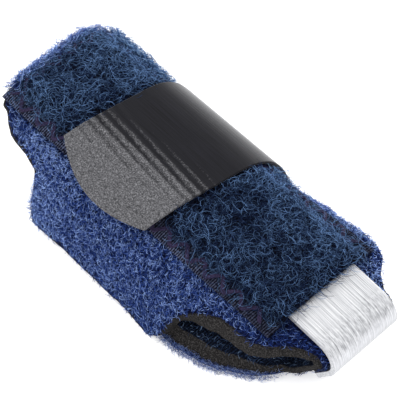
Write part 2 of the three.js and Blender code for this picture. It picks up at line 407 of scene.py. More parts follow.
def place(l, s, lift):
    """Point of the work frame, in millimetres, of a place on the blank."""
    side = -1 if s < 0 else 1
    section, droop = (NEAR_SECTION, NEAR_DROOP) if s < 0 else (FAR_SECTION, FAR_DROOP)
    along, up, angle = walk(section, abs(s), 0.0, flow(droop, l))
    y = side * (along + math.sin(angle) * lift)
    height = up + math.cos(angle) * lift
    x, rise, lean = walk(SPINE, l, math.radians(SPINE_SLOPE))
    lean -= math.radians(SPINE_SLOPE)
    return Vector((x + math.sin(lean) * height, y, SPINE_HEIGHT + rise + math.cos(lean) * height))


def wing_reach(l, side):
    """Way across the blank from the spine to a wing's free edge, just above the floor."""
    low = flow(NEAR_SKIRT if side < 0 else FAR_SKIRT, l)
    high = low + FOOT_SEARCH
    for _ in range(FOOT_SEARCH_STEPS):
        middle = (low + high) / 2
        if place(l, side * middle, 0).z > read(WING_FOOT, l):
            low = middle
        else:
            high = middle
    return high


def half_width(l, side):
    """Half width of the blank at l on one side."""
    if l >= WAIST_START:
        half = flow(NEAR_EDGE if side < 0 else FAR_EDGE, l)
        past = min(SOLE_CORNER, max(0.0, l - (BLANK_END - SOLE_CORNER)))
        return half - SOLE_CORNER + math.sqrt(SOLE_CORNER**2 - past**2)
    if side < 0 and l > WING_TOE:
        return flow(NEAR_TOE_EDGE, l)
    skirt = flow(NEAR_SKIRT if side < 0 else FAR_SKIRT, l)
    from_back = min(1.0, max(0.0, 1 - (WING_BACK - l) / BACK_SWEEP))
    from_toe = min(1.0, max(0.0, 1 - (l - WING_TOE) / TOE_SWEEP))
    share = (1 - math.sqrt(1 - from_back**2)) * from_toe**2
    return skirt + (wing_reach(l, side) - skirt) * share


# The frame's origin is under the middle of the part's box, so the tape's low corner gives the shift
tape_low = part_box("spine_tape")[0]
low_x = place(TAPE_BACK[0][1], -TAPE_HALF, 0).x
low_y = place(TAB_MIDDLE, -TAPE_HALF, GAP + SOLID_TAPE).y
SHIFT = Vector((tape_low[0] / MM - low_x, tape_low[1] / MM - low_y, 0))


def to_frame(point):
    """Point of the part's own frame, in metres."""
    return (point + SHIFT) * MM


def steps(start, end, count):
    """Even steps from start to end, with both."""
    return [start + (end - start) * i / count for i in range(count + 1)]


def round_steps(flat, steep, count):
    """Values along a quarter round, closest at the end called steep."""
    return [flat + (steep - flat) * math.sin(angle) for angle in steps(0, math.pi / 2, count)]


def smooth(start, end, value):
    """Runs softly from 0 to 1 while a value runs from start to end, which may lie below start."""
    t = min(1.0, max(0.0, (value - start) / (end - start)))
    return t * t * (3 - 2 * t)


def srgb(red, green, blue):
    """Linear colour with alpha of a screen colour given from 0 to 255."""
    def linear(value):
        value /= 255
        return value / 12.92 if value <= 0.04045 else ((value + 0.055) / 1.055) ** 2.4

    return (linear(red), linear(green), linear(blue), 1.0)


# Mesh making


def new_object(name, points, faces, uvs=None):
    """Object at the origin from work-frame points, kept off the floor, with the blank as its UV map."""
    for point in points:
        point.z = max(point.z, FLOOR_CLEAR)
    mesh = bpy.data.meshes.new(name)
    mesh.from_pydata([to_frame(point) for point in points], [], faces)
    if uvs is not None:
        layer = mesh.uv_layers.new(name="blank")
        for loop in mesh.loops:
            layer.data[loop.index].uv = uvs[loop.vertex_index]
    mesh.validate()
    mesh.shade_smooth()
    mesh.set_sharp_from_angle(angle=math.radians(SMOOTH_ANGLE))
    thing = bpy.data.objects.new(name, mesh)
    bpy.context.scene.collection.objects.link(thing)
    return thing


def wall(name, outside, inside, rims=()):
    """Closed wall over grids of (point, uv): a sheet outside, rim rings between, and a sheet inside.

    Each rim grid gives the same rows and columns, of which only the border is used. Returns the object
    and the numbers of its first rim face and of its first inside face.
    """
    rows, columns = len(outside), len(outside[0])
    cells = [cell for grid_rows in (outside, inside) for row in grid_rows for cell in row]
    border = [(0, j) for j in range(columns)] + [(i, columns - 1) for i in range(1, rows)]
    border += [(rows - 1, j) for j in range(columns - 2, -1, -1)]
    border += [(i, 0) for i in range(rows - 2, 0, -1)]
    rings = [[i * columns + j for i, j in border]]
    for rim in rims:
        rings.append([len(cells) + k for k in range(len(border))])
        cells += [rim[i][j] for i, j in border]
    rings.append([(rows + i) * columns + j for i, j in border])
    top, under, around = [], [], []
    shift = rows * columns
    for i in range(rows - 1):
        for j in range(columns - 1):
            a, b = i * columns + j, (i + 1) * columns + j
            top.append((a, b, b + 1, a + 1))
            under.append((a + shift, a + 1 + shift, b + 1 + shift, b + shift))
    for first, second in zip(rings, rings[1:]):
        for k in range(len(border)):
            n = (k + 1) % len(border)
            around.append((first[k], first[n], second[n], second[k]))
    points = [cell[0] for cell in cells]
    uvs = [cell[1] for cell in cells]
    thing = new_object(name, points, top + under + around, uvs)
    return thing, len(top) + len(under), len(top)


def grid(stations, columns, edges, lift):
    """Rows of (point, uv) on the blank, one for each station, spread from its near edge to its far one."""
    rows = []
    for l in stations:
        near, far = edges(l)
        rows.append([(place(l, s, lift(l, s)), (l / 10, s / 10)) for s in steps(-near, far, columns)])
    return rows


def blank_stations():
    """Places along the blank, closest where its outline or its way turns."""
    sweep_start = WING_BACK - BACK_SWEEP
    corner_start = BLANK_END - SOLE_CORNER
    places = [
        BLANK_START, BACK_ROWS_END, sweep_start, WING_BACK, WING_TOE, WAIST_START, NOSE_START, NOSE_END,
        SOLE_START, SOLE_STEP, corner_start, BLANK_END - LAST_ROW,
    ]
    stations = [BLANK_START]
    for start, end, count in zip(places, places[1:], BLANK_ROWS):
        spread = round_steps if start in (sweep_start, corner_start) else steps
        stations += spread(start, end, count)[1:]
    return stations


def stations_between(start, end):
    return [l for l in blank_stations() if start <= l <= end]


def hand_cut(l, side):
    """Small waver of a hand-cut edge."""
    return sum(height * math.sin(turn * l + shift * side) for height, turn, shift in HAND_WAVES)


edge_cache = {}


def edges_at(l):
    """Way from the spine to the near and the far cut edge."""
    if l not in edge_cache:
        edge_cache[l] = [half_width(l, side) + hand_cut(l, side) for side in (-1, 1)]
    return edge_cache[l]


def cloth_edges(l):
    """The cloth is cut a little shy of the foam, but shows under the sole's near edge."""
    shy = BLANK_START + CLOTH_BEHIND < l < WING_TOE - 1
    near, far = edges_at(l - CLOTH_BEHIND if shy else l)
    tip = FAR_TIP_SHOW * smooth(*FAR_TIP_RISE, l) * smooth(*FAR_TIP_FALL, l)
    return near + flow(CLOTH_SHOW, l), far - CLOTH_SHORT + tip


def edge_distance(l, s):
    """Way from a place on the cloth to its nearest cut edge, measured along or across."""
    near, far = cloth_edges(l)
    return max(0.0, min(near + s, far - s, l - BLANK_START, BLANK_END - l))


def cloth_lift(l, s):
    """The cloth rolls down a little towards its cut edges."""
    return GROUND - EDGE_ROLL * max(0.0, 1 - edge_distance(l, s) / EDGE_ROLL_WIDTH) ** 2


def foam_thickness(l):
    return FOAM - (FOAM - PRESSED_FOAM) * flow(PRESSED, l)


def blank_cut():
    """Width, length and area of the flat blank, in metres and square metres."""
    widths = [(l, sum(cloth_edges(l))) for l in blank_stations()]
    area = sum((b[0] - a[0]) * (a[1] + b[1]) / 2 for a, b in zip(widths, widths[1:]))
    return max(width for _, width in widths) * MM, (BLANK_END - BLANK_START) * MM, area * MM**2


def make_face_cloth(ground_look, foam_look):
    """The cloth's woven ground. Its cut edge shows the dark foam under it, except where pile hides it."""
    stations = blank_stations()
    outside = grid(stations, COLUMNS, cloth_edges, cloth_lift)
    inside = grid(stations, COLUMNS, cloth_edges, lambda l, s: CLOTH_UNDER)
    thing, rim_start, _ = wall("face_cloth", outside, inside)
    thing.data.materials.append(ground_look)
    thing.data.materials.append(foam_look)
    for face in thing.data.polygons[rim_start:]:
        along, across = thing.data.uv_layers["blank"].data[face.loop_start].uv
        on_sole = along > SOLE_RIM_FROM / 10 and across < 0
        on_far_tip = FAR_TIP_FROM / 10 < along < NOSE_START / 10 and across > 0
        face.material_index = 0 if on_sole or on_far_tip else 1
    return thing


def make_foam_lining(foam_look, lining_look):
    """The foam core, with its lining on the inside."""
    stations = blank_stations()

    def leaned(depth):
        """Border of the foam at a share of its depth: it leans with the cut and bulges in the middle."""
        out = RIM_BULGE * math.sin(math.pi * depth)

        def edges(l):
            near, far = edges_at(l)
            near += flow(FOAM_SHOW, l)
            return near + out + depth * flow(NEAR_LEAN, l), far + out + depth * flow(FAR_LEAN, l)

        rows = grid(stations, COLUMNS, edges, lambda l, s: FOAM_TOP - foam_thickness(l) * depth)
        back = out + BACK_LEAN * depth
        rows[0] = [(point - Vector((back, 0, 0)), uv) for point, uv in rows[0]]
        return rows

    rims = [leaned(depth) for depth in RIM_DEPTHS]
    thing, rim_start, inside_start = wall("foam_lining", leaned(0.0), leaned(1.0), rims)
    thing.data.materials.append(foam_look)
    thing.data.materials.append(lining_look)
    for face in thing.data.polygons[inside_start:rim_start]:
        face.material_index = 1
    return thing


def tape_start(s):
    """Place along the spine of the tape's back end."""
    return flow(TAPE_BACK, s)


def tape_lift(l, s):
    """Underside of the tape: over the strip in the middle, down on the cloth at its edges and back end."""
    wave = math.sin(2 * math.pi * l / SEAM_PERIOD)
    ripple = TAPE_RIPPLE * wave * smooth(RIPPLE_FROM, TAPE_HALF, abs(s))
    rise = (flow(TAPE_RISE, abs(s)) - TAPE_SEWN) * smooth(*TAPE_RAMP, l)
    return TAPE_SEWN + rise + max(0.0, ripple)


def tape_top(l, s):
    return tape_lift(l, s) + TAPE_BASE


def make_spine_tape(ground_look):
    """The tape's woven ground, from its own back end to the strip's way out."""
    def cell(share, s, above):
        start = tape_start(s)
        l = start + (TAPE_END - start) * share
        return place(l, s, tape_lift(l, s) + above), (l / 10, s / 10)

    def sheet(above):
        across = steps(-TAPE_HALF, TAPE_HALF, TAPE_COLUMNS)
        return [[cell(share, s, above) for s in across] for share in steps(0, 1, TAPE_ROWS)]

    thing = wall("spine_tape", sheet(TAPE_BASE), sheet(0))[0]
    thing.data.materials.append(ground_look)
    return thing


def round_edges(thing, name, width, segments):
    """Live bevel on the sharp edges of a piece."""
    bevel = thing.modifiers.new(name, "BEVEL")
    bevel.width = width * MM
    bevel.segments = segments
    bevel.limit_method = "ANGLE"
    bevel.angle_limit = math.radians(BEVEL_ANGLE)


def make_stay_strip(strip_look, edge_look):
    """The strip, bent with the spine round the nose, with a rounded end and sheared edges."""
    end = NOSE_END + STRIP_TAIL

    def edges(l):
        past = min(STRIP_CORNER, max(0.0, l - (end - STRIP_CORNER)))
        half = STRIP_HALF - STRIP_CORNER + math.sqrt(STRIP_CORNER**2 - past**2)
        return half, half

    stations = (
        steps(STRIP_START, NOSE_START, 24)
        + steps(NOSE_START, NOSE_END, 32)[1:]
        + steps(NOSE_END, end - STRIP_CORNER, 6)[1:]
        + round_steps(end - STRIP_CORNER, end, 8)[1:]
    )
    outside = grid(stations, STRIP_COLUMNS, edges, lambda l, s: GAP + STRIP_THICK)
    inside = grid(stations, STRIP_COLUMNS, edges, lambda l, s: GAP)
    thing, rim_start, _ = wall("stay_strip", outside, inside)
    thing.data.materials.append(strip_look)
    thing.data.materials.append(edge_look)
    for face in thing.data.polygons[rim_start:]:
        face.material_index = 1
    round_edges(thing, "worn_edge", STRIP_BEVEL, 4)
    return thing


def tab_relief(across, s):
    """Height of the ridges, which fade out at both ends of their field."""
    along = s - RIDGE_SLANT * across
    wave = math.cos(2 * math.pi * (along - RIDGE_AT) / RIDGE_PITCH)
    field = smooth(*RIDGES_FREE_END, along) * smooth(*RIDGES_ROOT_END, along)
    return RIDGE_HEIGHT * (1 + wave) / 2 * field


def tab_free(across):
    """Place across the blank of the tab's rounded free end."""
    share = across / TAB_HALF
    return -(TAB_FREE + TAB_SKEW * share + TAB_BULGE * (1 - share**2))


def tab_place(across, s, above, relief=False):
    """Point of the tab and its UV, at a height above the tab's underside."""
    l = TAB_MIDDLE + across + TAB_SLANT * s
    forward = (across / TAB_HALF + 1) / 2
    lift = flow(TAB_BACK_LIFT, s) * (1 - forward) + flow(TAB_FRONT_LIFT, s) * forward + above
    if relief:
        lift += tab_relief(across, s)
    return place(l, s, lift), (across / 10, s / 10)


def make_hook_tab(tab_look):
    """The tab, from its rounded free end to its root, with its ridges on the outside."""
    def cell(across, share, above, relief):
        free = tab_free(across)
        return tab_place(across, free + (TAB_ROOT - free) * share, above, relief)

    def sheet(above, relief):
        widths = steps(TAB_HALF, -TAB_HALF, TAB_COLUMNS)
        shares = steps(0, 1, TAB_ROWS)
        return [[cell(across, share, above, relief) for across in widths] for share in shares]

    thing = wall("hook_tab", sheet(TAB_THICK, True), sheet(0, False))[0]
    thing.data.materials.append(tab_look)
    round_edges(thing, "cut_edge", TAB_BEVEL, 2)
    return thing


# Where pile grows: edges of each patch, and its lift, cover, looseness and paleness at a place


def always(value):
    """The same reading at every place."""
    return lambda l, s: value


def fixed_edges(near, far):
    """The same edges all along."""
    return lambda l: (near, far)


def near_edges(l):
    return cloth_edges(l)[0], 0.0


def far_edges(l):
    return 0.0, cloth_edges(l)[1]


def sole_band(inside, outside):
    """Band along the sole's near cut edge."""
    def edges(l):
        near = edges_at(l)[0]
        return near + outside, inside - near

    return edges


def lining_edges(l):
    near, far = edges_at(l)
    return near + flow(NEAR_LEAN, l) - LINING_INSET, far + flow(FAR_LEAN, l) - LINING_INSET


def under_tab(l, s, margin, grow=0.0):
    """How far the tab, grown a little, covers a place: 1 well under it, 0 outside."""
    across = l - TAB_MIDDLE - TAB_SLANT * s
    free = tab_free(max(-TAB_HALF, min(TAB_HALF, across)))
    side = smooth(TAB_HALF + grow, TAB_HALF + grow - margin, abs(across))
    return side * smooth(free, free + margin, s) * smooth(TAB_ROOT, TAB_ROOT - margin, s)


def far_tip_share(l):
    """Runs from 0 to 1 where the far tip begins."""
    return smooth(FAR_TIP_FROM, FAR_TIP_FROM + FAR_TIP_FADE, l)


def cloth_cover(l, s):
    """Share of blue pile: none under tape, strip and tab, thin at the cut edges and by the strip."""
    across = abs(s)
    start = tape_start(s)
    tape = smooth(TAPE_HALF + 0.2, TAPE_HALF - 0.3, across) * smooth(start, start + 0.5, l)
    tape *= smooth(TAPE_END + 0.6, TAPE_END, l)
    strip = smooth(STRIP_HALF + 0.3, STRIP_HALF - 0.3, across)
    strip *= smooth(*STRIP_OUT, l) * smooth(*STRIP_BACK, l)
    tab = under_tab(l, s, margin=0.8)
    bare = 0.6 + 0.9 * smooth(*WING_BARE, l) if s < 0 and l < WING_TOE else 0.0
    edge = 0.1 + 0.9 * smooth(0.3 + bare, 1.1 + bare, edge_distance(l, s))
    if s > 0:
        edge = max(edge, 1.8 * far_tip_share(l) * smooth(*FAR_TIP_END, l))
    lee = 1 - 0.45 * smooth(*LEE, l)
    return (1 - tape) * (1 - strip) * (1 - tab) * edge * lee


def cloth_loose(l, s):
    """The pile is combed down the back half of the wings and rubbed every way towards the toe."""
    return 0.35 + 0.55 * smooth(*COMBED, l)


def cloth_painted_light(l, s):
    """Painted light and shade: paler at the back and on the far side, and darker by the strip as if shaded.
    """
    if s > 0:
        return 0.3 - 0.05 * far_tip_share(l)
    return 0.22 * smooth(*PAINTED_LIT_TO, l) * smooth(*PAINTED_LIT_FROM, l) - 0.22 * smooth(*LEE, l)


def sole_cover(l, s):
    """Full along the sole's cut edge and thin elsewhere, where it lies on the floor."""
    return 0.04 + 0.96 * smooth(*SOLE_EDGE, edge_distance(l, s))


def seam_scallop(l):
    """How far the pile's border swings in and out along a seam, from 0 to 1."""
    return abs(((l / SEAM_PERIOD + 0.25) % 1.0) * 2 - 1)


def tape_cover(l, s):
    """Share of navy pile: thin on the sewn bands and on the back seam, none under the tab.

    The near edge's band shows all along, the far edge's only towards the toe.
    """
    reach = SEAM_INNER - 0.4 + 2.0 * seam_scallop(l)
    if s > 0:
        shown = smooth(FAR_TIP_FROM, FAR_TIP_FROM + FAR_BAND_FADE, l)
        reach = TAPE_HALF - (TAPE_HALF - 0.5 - reach) * shown
    band = smooth(reach + 0.4, reach - 0.5, abs(s))
    across = (s - BACK_SEAM_START) / BACK_SEAM_PERIOD
    seam = BACK_SEAM_FROM + (BACK_SEAM_TO - BACK_SEAM_FROM) * (1 - abs((across % 1.0) * 2 - 1))
    back = 0.3 + 0.7 * smooth(0.2, 0.7, abs(l - seam))
    return max(0.04, band * back) * (1 - under_tab(l, s, margin=0.7, grow=1.1))


def back_tape_cover(l, s):
    return tape_cover(l, s) if tape_start(s) + 0.6 < l < TAB_MIDDLE else 0.0


def toe_tape_cover(l, s):
    return tape_cover(l, s) if l >= TAB_MIDDLE else 0.0


def tape_painted_light(l, s):
    """Painted light and shade: paler towards the far edge and the back end, as if lit, darker in the
    middle.
    """
    far = 0.32 * smooth(*TAPE_PALE_FAR, s)
    back = 0.13 * smooth(*TAPE_PALE_BACK, l)
    near = 0.08 * smooth(*TAPE_PALE_NEAR, s)
    return -0.05 + far + back + near


def far_rim_lift(l, s):
    """Full and rounded towards the back end, flatter towards the toe."""
    rise = FAR_RIM_RISE * smooth(*FAR_RIM_FULL, l)
    return tape_top(l, FAR_RIM_IN) + rise - FAR_RIM_SLOPE * (s - FAR_RIM_IN)


def far_rim_cover(l, s):
    clear = 1 - under_tab(l, s, margin=0.4, grow=1.3)
    return clear * smooth(FAR_TIP_FROM + 2, FAR_TIP_FROM - FAR_BAND_FADE, l)


def back_rim_lift(l, s):
    """Turns down over the tape's back end."""
    return tape_top(l, s) - BACK_RIM_SLOPE * max(0.0, tape_start(s) - l)


def back_rim_cover(l, s):
    """None on the near corner, where the woven edge lies bare."""
    return smooth(*BACK_RIM_NEAR, s)


def sole_rim_lift(l, s):
    """Stands up past the cut edge."""
    return CLOTH_UNDER + SOLE_RIM_SLOPE * (-s - edges_at(l)[0] + SOLE_RIM_IN)


def sole_rim_cover(l, s):
    return smooth(*SOLE_RIM_ON, l) * smooth(*SOLE_RIM_OFF, l)


def lining_lift(l, s):
    return FOAM_TOP - foam_thickness(l)


def lining_cover(l, s):
    """Share of lining pile: thickest in the mouth, and most of all by its near side."""
    mouth = smooth(*MOUTH_FROM, l) * smooth(*MOUTH_END, l)
    return 0.15 + 0.85 * mouth * (0.45 + 0.55 * smooth(*MOUTH_NEAR, s))


# Node trees


class NodeTree:
    """A node tree under construction, with short ways to add nodes and to join them."""

    def __init__(self, tree):
        self.tree = tree

    def feed(self, socket, value):
        """Sets an input to a value, or links another node's output to it."""
        if isinstance(value, bpy.types.NodeSocket):
            self.tree.links.new(value, socket)
        else:
            socket.default_value = value

    def node(self, kind, **values):
        """New node. A name in lower case is a setting of it, and a capitalised one an input."""
        made = self.tree.nodes.new(kind)
        for name, value in values.items():
            if name[0].islower():
                setattr(made, name, value)
            else:
                self.feed(made.inputs[name.replace("_", " ")], value)
        return made

    def math(self, operation, *values, clamp=False):
        made = self.node("ShaderNodeMath", operation=operation, use_clamp=clamp)
        for socket, value in zip(made.inputs, values):
            self.feed(socket, value)
        return made.outputs[0]

    def mix(self, share, first, second):
        """Blend of two colours, whose sockets come after those for numbers and for vectors."""
        made = self.node("ShaderNodeMix", data_type="RGBA", Factor=share)
        self.feed(made.inputs[6], first)
        self.feed(made.inputs[7], second)
        return made.outputs[2]

    def span(self, value, start, end, low=0.0, high=1.0):
        """Runs from low to high while a value runs from start to end."""
        made = self.node("ShaderNodeMapRange", Value=value, From_Min=start, From_Max=end)
        self.feed(made.inputs["To Min"], low)
        self.feed(made.inputs["To Max"], high)
        return made.outputs[0]

    def blank_map(self):
        """The blank's own UV map."""
        return self.node("ShaderNodeUVMap", uv_map="blank").outputs[0]

    def blank_places(self):
        """Ways along and across the blank, in centimetres."""
        parts = self.node("ShaderNodeSeparateXYZ", Vector=self.blank_map())
        return parts.outputs[0], parts.outputs[1]


def new_group(name, kind, inputs, outputs):
    """Node group with named sockets: its tree, what it is given and what it puts out."""
    group = bpy.data.node_groups.new(name, kind)
    for way, sockets in (("INPUT", inputs), ("OUTPUT", outputs)):
        for socket, data in sockets:
            group.interface.new_socket(socket, in_out=way, socket_type="NodeSocket" + data)
    tree = NodeTree(group)
    return tree, tree.node("NodeGroupInput").outputs, tree.node("NodeGroupOutput").inputs


def end_in_mesh(tree, geometry, given, result):
    """Ends a Geometry Nodes tree in a real mesh of the given finish."""
    real = tree.node("GeometryNodeRealizeInstances", Geometry=geometry)
    finished = tree.node("GeometryNodeSetMaterial", Geometry=real.outputs[0], Material=given["Finish"])
    tree.feed(result[0], finished.outputs[0])
    return tree.tree


def make_pile_tree():
    """Scatters curled fibres over a sheet, stood on its faces, combed or spun, and sized at random.

    The sheet's own attributes say how many fibres it carries (cover), how freely they spin (loose) and how
    much paler or darker than the rest they are painted, as light and shade would fall on them.
    """
    inputs = [("Sheet", "Geometry"), ("Fibres", "Collection")]
    inputs += [(size, "Float") for size in ("Density", "Smallest", "Largest", "Tilt")]
    inputs += [("Lay", "Vector"), ("Seed", "Int"), ("Finish", "Material")]
    tree, given, result = new_group("curled_pile", "GeometryNodeTree", inputs, [("Pile", "Geometry")])

    def own(name):
        made = tree.node("GeometryNodeInputNamedAttribute", data_type="FLOAT", Name=name)
        return made.outputs["Attribute"]

    def chance(low, high, offset):
        seed = tree.math("ADD", given["Seed"], offset)
        made = tree.node("FunctionNodeRandomValue", data_type="FLOAT", Min=low, Max=high, Seed=seed)
        return made.outputs[1]

    scatter = tree.node(
        "GeometryNodeDistributePointsOnFaces", distribute_method="RANDOM", Mesh=given["Sheet"],
        Density=tree.math("MULTIPLY", given["Density"], own("cover")), Seed=given["Seed"],
    )
    turned = tree.node(
        "FunctionNodeAlignRotationToVector", axis="X", pivot_axis="Z",
        Rotation=scatter.outputs["Rotation"], Vector=given["Lay"],
    )
    spin = tree.math("MULTIPLY", chance(-math.pi, math.pi, 1), own("loose"))
    lean = tree.math("MULTIPLY", chance(-1, 1, 2), given["Tilt"])
    for axis, angle in (((0, 0, 1), spin), ((0, 1, 0), lean)):
        turn = tree.node("FunctionNodeAxisAngleToRotation", Axis=axis, Angle=angle)
        turned = tree.node(
            "FunctionNodeRotateRotation", rotation_space="LOCAL", Rotation=turned.outputs[0],
            Rotate_By=turn.outputs[0],
        )
    fibres = tree.node(
        "GeometryNodeCollectionInfo", Collection=given["Fibres"], Separate_Children=True,
        Reset_Children=True,
    )
    pick = tree.node("FunctionNodeRandomValue", data_type="INT", Min=0, Max=1000, Seed=given["Seed"])
    stand = tree.node(
        "GeometryNodeInstanceOnPoints", Points=scatter.outputs["Points"], Instance=fibres.outputs[0],
        Pick_Instance=True, Instance_Index=pick.outputs[2], Rotation=turned.outputs[0],
        Scale=tree.span(chance(0, 1, 3), 0.0, 1.0, given["Smallest"], given["Largest"]),
    )
    # Each fibre's tone, raised or lowered by the painted light and shade of its place
    toned = tree.node(
        "GeometryNodeStoreNamedAttribute", data_type="FLOAT", domain="INSTANCE", Geometry=stand.outputs[0],
        Name="tone", Value=tree.math("ADD", chance(0, 1, 4), own("bias")),
    )
    return end_in_mesh(tree, toned.outputs[0], given, result)


def make_thread_tree():
    """Turns lines into round thread."""
    inputs = [("Lines", "Geometry"), ("Radius", "Float"), ("Finish", "Material")]
    tree, given, result = new_group("sewn_thread", "GeometryNodeTree", inputs, [("Thread", "Geometry")])
    curves = tree.node("GeometryNodeMeshToCurve", Mesh=given["Lines"])
    section = tree.node("GeometryNodeCurvePrimitiveCircle", Resolution=6, Radius=given["Radius"])
    tube = tree.node(
        "GeometryNodeCurveToMesh", Curve=curves.outputs[0], Profile_Curve=section.outputs[0], Fill_Caps=True
    )
    return end_in_mesh(tree, tube.outputs[0], given, result)


def make_fibre_group():
    """Colour of a fibre: painted shade at its root, and from deep to pale by its own tone and by its clump.
    """
    inputs = [(tone, "Color") for tone in ("Root", "Deep", "Middle", "Pale")]
    inputs += [("Lift", "Float"), ("Clump", "Float")]
    tree, given, result = new_group("fibre_colour", "ShaderNodeTree", inputs, [("Colour", "Color")])
    tone, along = [
        tree.node("ShaderNodeAttribute", attribute_name=name).outputs["Fac"] for name in ("tone", "along")
    ]
    where = tree.node("ShaderNodeTexCoord").outputs["Object"]
    patches = tree.node("ShaderNodeTexNoise", Vector=where, Scale=240.0, Detail=2.0)
    centred = tree.math("SUBTRACT", patches.outputs[0], 0.5)
    clumped = tree.math("MULTIPLY_ADD", centred, given["Clump"], tone)
    deep = tree.mix(tree.span(clumped, 0.0, 0.55), given["Deep"], given["Middle"])
    pale = tree.mix(tree.span(clumped, 0.55, 1.0), deep, given["Pale"])
    # Painted shade: the fibre is dark at its root, as if shaded deep in the pile, up to the given reach
    root = tree.span(along, 0.0, given["Lift"])
    tree.feed(result["Colour"], tree.mix(root, given["Root"], pale))
    return tree.tree


def make_grain_group():
    """Fine grain: a mask of light specks, and a height for bump."""
    inputs = [("Scale", "Float"), ("Contrast", "Float")]
    outputs = [("Mask", "Float"), ("Height", "Float")]
    tree, given, result = new_group("fine_grain", "ShaderNodeTree", inputs, outputs)
    where = tree.node("ShaderNodeTexCoord").outputs["Object"]
    noise = tree.node("ShaderNodeTexNoise", Vector=where, Scale=given["Scale"], Detail=3, Roughness=0.6)
    centred = tree.math("SUBTRACT", noise.outputs[0], 0.5)
    tree.feed(result["Mask"], tree.math("MULTIPLY_ADD", centred, given["Contrast"], 0.5, clamp=True))
    tree.feed(result["Height"], noise.outputs[0])
    return tree.tree


def make_weave_group():
    """Woven ground from the blank's own UV: ribs across it, beaded where the warp crosses, from 0 to 1."""
    inputs = [("Rib", "Float"), ("Bead", "Float")]
    tree, given, result = new_group("ground_weave", "ShaderNodeTree", inputs, [("Height", "Float")])
    waves = []
    for way, pitch, share in zip(tree.blank_places(), (given["Rib"], given["Bead"]), (0.5, 0.22)):
        turns = tree.math("DIVIDE", 20 * math.pi, pitch)
        wave = tree.math("SINE", tree.math("MULTIPLY", way, turns))
        waves.append(tree.math("MULTIPLY", wave, share))
    tree.feed(result["Height"], tree.math("MULTIPLY_ADD", tree.math("ADD", *waves), 0.7, 0.5, clamp=True))
    return tree.tree


fibre_group = make_fibre_group()
grain_group = make_grain_group()
weave_group = make_weave_group()
pile_tree = make_pile_tree()
thread_tree = make_thread_tree()

# Pile and thread


def run_tree(thing, tree, **values):
    """Runs a tree on an object with the given inputs and leaves a plain mesh that keeps off the floor."""
    modifier = thing.modifiers.new(tree.name, "NODES")
    modifier.node_group = tree
    for item in tree.interface.items_tree:
        if item.item_type == "SOCKET" and item.in_out == "INPUT" and item.name in values:
            modifier[item.identifier] = values[item.name]
    bpy.context.view_layer.update()
    result = bpy.data.meshes.new_from_object(thing.evaluated_get(bpy.context.evaluated_depsgraph_get()))
    thing.modifiers.clear()
    old = thing.data
    thing.data = result
    bpy.data.meshes.remove(old)
    result.name = thing.name
    for vertex in result.vertices:
        if vertex.co.z < FLOOR_CLEAR * MM:
            vertex.co.z = FLOOR_CLEAR * MM
    result.shade_smooth()
    return thing


def curl_path(chances, length, climb, drop, swing, joints):
    """Points of one curl that climbs from its root, bends over and swings round."""
    point = Vector((0, 0, -0.05))
    points = [point.copy()]
    way = 1 if chances.random() < 0.5 else -1
    total = way * chances.uniform(*swing)
    rise = chances.uniform(*climb)
    fall = chances.uniform(*drop)
    for i in range(joints):
        share = (i + 0.5) / joints
        pitch = math.radians(rise + (fall - rise) * share)
        heading = math.radians(total) * share**1.2
        level = math.cos(pitch)
        ahead = Vector((level * math.cos(heading), level * math.sin(heading), math.sin(pitch)))
        point = point + length / joints * ahead
        points.append(point.copy())
    return points


def curl_mesh(name, path, radius):
    """Three-sided pointed tube along a path, whose points know how far along they are."""
    joints = len(path) - 1
    points, faces, along = [], [], []
    for i, point in enumerate(path[:-1]):
        ahead = path[i + 1] - path[max(i - 1, 0)]
        side = ahead.cross(Vector((0.3, 0.2, 1))).normalized()
        over = side.cross(ahead).normalized()
        share = i / joints
        width = radius * (1 - 0.3 * share)
        for k in range(3):
            angle = 2 * math.pi * k / 3
            points.append((point + width * (math.cos(angle) * side + math.sin(angle) * over)) * MM)
            along.append(share)
        if i:
            base = 3 * (i - 1)
            for k in range(3):
                n = (k + 1) % 3
                faces.append((base + k, base + 3 + k, base + 3 + n, base + n))
    tip = len(points)
    points.append(path[-1] * MM)
    along.append(1.0)
    faces += [(tip - 3 + k, tip, tip - 3 + (k + 1) % 3) for k in range(3)]
    faces.append((0, 1, 2))
    mesh = bpy.data.meshes.new(name)
    mesh.from_pydata(points, [], faces)
    mesh.attributes.new("along", "FLOAT", "POINT").data.foreach_set("value", along)
    return mesh


def make_curls(name, kinds):
    """Collection of curled fibres."""
    group = bpy.data.collections.new(name)
    for kind in kinds:
        chances = random.Random(kind["seed"])
        for number in range(kind["shapes"]):
            length = chances.uniform(*kind["lengths"])
            path = curl_path(chances, length, kind["climb"], kind["drop"], kind["swing"], kind["joints"])
            mesh = curl_mesh(f"{name}_{kind['seed']}_{number}", path, kind["radius"])
            group.objects.link(bpy.data.objects.new(mesh.name, mesh))
    return group


def make_pile(
    name, stations, columns, edges, lift, cover, loose=always(1.0), bias=always(0.0), inward=False,
    start=None, **values,
):
    """Pile on a patch of the blank, whose sheet tells the tree its cover, looseness and painted light and
    shade.

    Where a start is given, the stations are counted from it.
    """
    rows = [[(l, s) for s in steps(-edges(l)[0], edges(l)[1], columns)] for l in stations]
    if start:
        rows = [[(l + start(s), s) for l, s in row] for row in rows]
    cells = [cell for row in rows for cell in row]
    points = [place(l, s, lift(l, s)) for l, s in cells]
    width = columns + 1
    faces = []
    for i in range(len(rows) - 1):
        for j in range(columns):
            a, b = i * width + j, (i + 1) * width + j
            faces.append((a, a + 1, b + 1, b) if inward else (a, b, b + 1, a + 1))
    sheet = new_object(name, points, faces)
    for attribute, reading in (("cover", cover), ("loose", loose), ("bias", bias)):
        layer = sheet.data.attributes.new(attribute, "FLOAT", "POINT")
        layer.data.foreach_set("value", [reading(l, s) for l, s in cells])
    return run_tree(sheet, pile_tree, **values)


